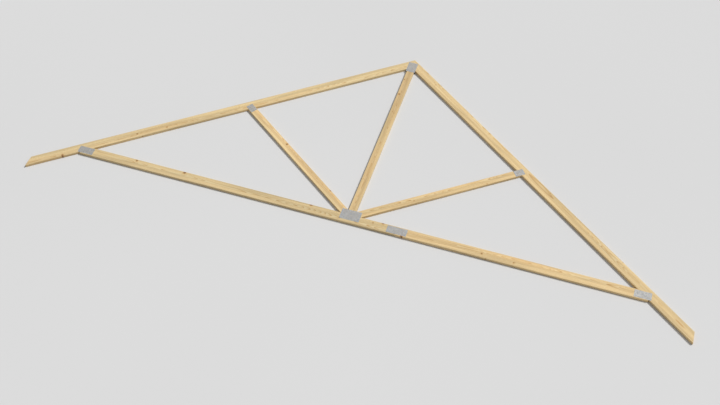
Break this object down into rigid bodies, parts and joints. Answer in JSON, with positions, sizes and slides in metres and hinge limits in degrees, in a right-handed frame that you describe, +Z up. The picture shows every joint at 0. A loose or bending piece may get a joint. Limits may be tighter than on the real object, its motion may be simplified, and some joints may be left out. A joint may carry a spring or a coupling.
{
  "type": "wooden roof truss",
  "caption": "Nail-plated timber roof truss with sloping rafters, a spliced bottom chord, a king post and struts, lying flat.",
  "frame": {"origin": "under the middle of the truss's box, on the floor that it lies on", "axes": "+X along the span, +Y from the bottom chord to the ridge, +Z up through the thickness"},
  "size_m": [8.3, 3.3382, 0.0374],
  "materials": {
    "softwood": "planed softwood, pale warm yellow, unvarnished",
    "galvanised_plate": "hot-dip galvanised, dull spangled grey"
  },
  "bodies": {
    "root": {"rafter_left": "softwood", "rafter_right": "softwood", "bottom_chord_long": "softwood", "bottom_chord_short": "softwood", "king_post": "softwood", "strut_left": "softwood", "strut_right": "softwood", "apex_plate_lower": "galvanised_plate", "apex_plate_upper": "galvanised_plate", "foot_plate_lower": "galvanised_plate", "foot_plate_upper": "galvanised_plate", "splice_plate_lower": "galvanised_plate", "splice_plate_upper": "galvanised_plate", "heel_plate_left_lower": "galvanised_plate", "heel_plate_left_upper": "galvanised_plate", "heel_plate_right_lower": "galvanised_plate", "heel_plate_right_upper": "galvanised_plate", "strut_plate_left_lower": "galvanised_plate", "strut_plate_left_upper": "galvanised_plate", "strut_plate_right_lower": "galvanised_plate", "strut_plate_right_upper": "galvanised_plate"}
  },
  "joints": []
}
